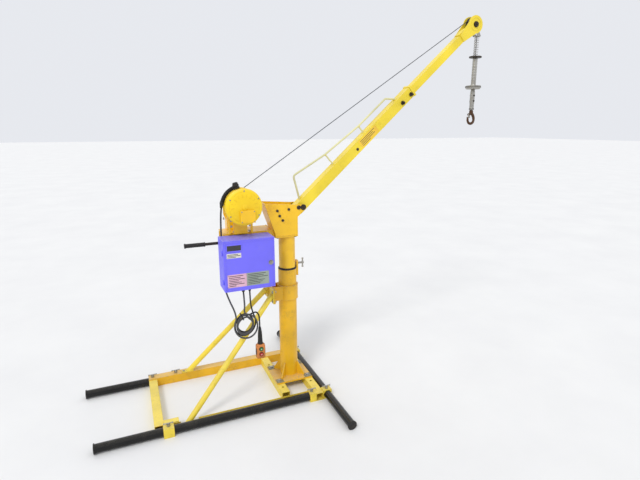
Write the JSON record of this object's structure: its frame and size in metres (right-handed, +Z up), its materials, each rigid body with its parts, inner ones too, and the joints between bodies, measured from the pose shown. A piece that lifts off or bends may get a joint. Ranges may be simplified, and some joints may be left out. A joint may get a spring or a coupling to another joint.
{
  "type": "slewing material hoist",
  "caption": "Small slewing hoist: floor frame with black outrigger tubes, turning column, inclined telescopic boom, rope winch, control box, pendant and hook.",
  "frame": {"origin": "on the floor at the column's axis, the middle of the floor anchor holes", "axes": "+X along the boom, +Y away from the control box, +Z up"},
  "size_m": [2.6683, 1.28, 2.3637],
  "materials": {
    "yellow_paint": "gloss enamel over steel",
    "black_tube": "gloss black enamel",
    "box_blue": "powder coat",
    "bronze": "machined",
    "zinc_steel": "zinc plated",
    "dark_steel": "black oxide",
    "bearing_steel": "ground",
    "lamination": "varnished",
    "rope_steel": "galvanised strands",
    "black_gloss": "gloss",
    "grey_plastic": "moulded",
    "black_rubber": "matte",
    "lead_grey": "matte",
    "orange_plastic": "moulded",
    "button_green": "moulded",
    "button_red": "moulded"
  },
  "bodies": {
    "base": {"far_rail": "yellow_paint", "cross_members": "yellow_paint", "near_rail": "yellow_paint", "outrigger_clamps": "yellow_paint", "column": "yellow_paint", "slew_bushes": "bronze", "braces": "yellow_paint", "frame_bolts": "zinc_steel"},
    "near_leg": {"near_leg": "black_tube"},
    "far_leg": {"far_leg": "black_tube"},
    "outrigger": {"outrigger": "black_tube"},
    "slew_lock": {"slew_lock_screw": "zinc_steel"},
    "mast": {"mast_tube": "yellow_paint", "head_side_plates": "yellow_paint", "head_frame": "yellow_paint", "head_bolts": "dark_steel", "winch_platform": "yellow_paint", "winch_stand": "yellow_paint", "motor_casing": "yellow_paint", "motor_cover": "yellow_paint", "stator": "lamination", "gear_case": "yellow_paint", "shaft_bearings": "bearing_steel", "control_box": "box_blue", "control_gear": "grey_plastic", "cable_glands": "black_rubber", "motor_lead": "lead_grey", "pendant_lead": "black_rubber", "lead_hank": "black_rubber", "pendant_boot": "black_rubber", "pendant_body": "orange_plastic", "handle_grip": "black_rubber"},
    "rotor": {"rotor": "bearing_steel"},
    "countershaft": {"countershaft": "bearing_steel"},
    "drum": {"drum": "yellow_paint", "drum_rope": "rope_steel", "drum_gear": "bearing_steel"},
    "door": {"box_door": "box_blue", "door_window": "black_gloss"},
    "latch": {"door_latch": "zinc_steel"},
    "up_button": {"up_button": "button_green"},
    "down_button": {"down_button": "button_red"},
    "boom": {"boom_outer": "yellow_paint", "truss_rod": "yellow_paint", "boom_bolts": "dark_steel"},
    "boom_tip": {"boom_inner": "yellow_paint", "tip_cheeks": "yellow_paint", "sheave_pin": "dark_steel", "rope_wrap": "rope_steel"},
    "rope_lower": {"rope_lower": "rope_steel"},
    "rope_upper": {"rope_upper": "rope_steel"},
    "sheave": {"sheave": "dark_steel"},
    "yoke": {"buffer_yoke": "zinc_steel", "buffer_spring": "zinc_steel", "rope_fall": "rope_steel"},
    "buffer_disc": {"buffer_disc": "dark_steel"},
    "hook_block": {"hook_sleeve": "zinc_steel", "hook_swivel": "zinc_steel"},
    "hook": {"hook": "dark_steel"},
    "hook_latch": {"hook_latch": "zinc_steel"}
  },
  "joints": [
    {"name": "near_leg_slide", "type": "slide", "parent": "base", "child": "near_leg", "axis": [-1, 0, 0], "range_m": [0, 0.25]},
    {"name": "far_leg_slide", "type": "slide", "parent": "base", "child": "far_leg", "axis": [-1, 0, 0], "range_m": [-0.25, 0.15]},
    {"name": "outrigger_slide", "type": "slide", "parent": "base", "child": "outrigger", "axis": [0, 1, 0], "range_m": [-0.2, 0.2]},
    {"name": "slew_lock", "type": "slide", "parent": "base", "child": "slew_lock", "axis": [1, 0, 0], "range_m": [0, 0.012]},
    {"name": "slew", "type": "hinge", "parent": "base", "child": "mast", "pos_m": [0, 0, 0.785], "axis": [0, 0, 1], "range_deg": [0, 270]},
    {"name": "drum_spin", "type": "hinge", "parent": "mast", "child": "drum", "pos_m": [-0.3, 0, 1.219], "axis": [0, -1, 0], "range_deg": [-1719.87, 1]},
    {"name": "countershaft_spin", "type": "hinge", "parent": "mast", "child": "countershaft", "pos_m": [-0.3, 0, 1.156], "axis": [0, -1, 0], "range_deg": [-1, 5501.4]},
    {"name": "rotor_spin", "type": "hinge", "parent": "mast", "child": "rotor", "pos_m": [-0.3, 0, 1.219], "axis": [0, -1, 0], "range_deg": [-20169.11, 1]},
    {"name": "door_hinge", "type": "hinge", "parent": "mast", "child": "door", "pos_m": [-0.436, -0.162, 0.89], "axis": [0, 0, -1], "range_deg": [0, 110]},
    {"name": "latch_turn", "type": "hinge", "parent": "door", "child": "latch", "pos_m": [-0.158, -0.174, 0.89], "axis": [0, -1, 0], "range_deg": [0, 90]},
    {"name": "up_button_press", "type": "slide", "parent": "mast", "child": "up_button", "axis": [0, 1, 0], "range_m": [0, 0.004], "stiffness_N_per_m": 400, "springref_m": -0.002},
    {"name": "down_button_press", "type": "slide", "parent": "mast", "child": "down_button", "axis": [0, 1, 0], "range_m": [0, 0.004], "stiffness_N_per_m": 400, "springref_m": -0.002},
    {"name": "boom_luff", "type": "hinge", "parent": "mast", "child": "boom", "pos_m": [0.0898, 0, 1.17746], "axis": [0, -1, 0], "range_deg": [-12, 12], "deforming": ["rope_wrap"]},
    {"name": "boom_extend", "type": "slide", "parent": "boom", "child": "boom_tip", "axis": [0.7399, 0, 0.6728], "range_m": [-0.45, 0.15], "deforming": ["rope_lower", "rope_upper"]},
    {"name": "rope_swing", "type": "hinge", "parent": "mast", "child": "rope_lower", "pos_m": [-0.3, 0, 1.219], "axis": [0, -1, 0], "range_deg": [-11, 11]},
    {"name": "rope_pay", "type": "slide", "parent": "rope_lower", "child": "rope_upper", "axis": [0.7399, 0, 0.6728], "range_m": [-0.46, 0.16]},
    {"name": "sheave_spin", "type": "hinge", "parent": "boom_tip", "child": "sheave", "pos_m": [1.33277, 0, 2.30768], "axis": [0, -1, 0], "range_deg": [-2023.2, 1]},
    {"name": "yoke_swing", "type": "hinge", "parent": "boom_tip", "child": "yoke", "pos_m": [1.33277, 0, 2.30768], "axis": [0, -1, 0], "range_deg": [-12.5, 12.5]},
    {"name": "buffer_press", "type": "slide", "parent": "yoke", "child": "buffer_disc", "axis": [0, 0, 1], "range_m": [0, 0.05], "stiffness_N_per_m": 900, "springref_m": -0.01, "deforming": ["buffer_spring"]},
    {"name": "hook_lift", "type": "slide", "parent": "yoke", "child": "hook_block", "axis": [0, 0, 1], "range_m": [-1.5, 0], "deforming": ["rope_fall"]},
    {"name": "hook_swivel", "type": "hinge", "parent": "hook_block", "child": "hook", "pos_m": [1.37527, 0, 1.76], "axis": [0, 0, 1], "continuous": true},
    {"name": "hook_latch", "type": "hinge", "parent": "hook", "child": "hook_latch", "pos_m": [1.35727, 0, 1.736], "axis": [0, -1, 0], "range_deg": [0, 30], "stiffness_Nm_per_rad": 0.02, "springref_deg": -28.65}
  ],
  "couplings": [
    {"joint": "drum_spin", "follows": "hook_lift", "rad_per_m": 20},
    {"joint": "countershaft_spin", "follows": "hook_lift", "rad_per_m": -64},
    {"joint": "rotor_spin", "follows": "hook_lift", "rad_per_m": 234.67},
    {"joint": "sheave_spin", "follows": "hook_lift", "rad_per_m": 23.529},
    {"joint": "yoke_swing", "follows": "boom_luff", "ratio": -1},
    {"joint": "rope_swing", "follows": "boom_luff", "ratio": 0.847},
    {"joint": "rope_pay", "follows": "boom_extend", "ratio": 1}
  ]
}
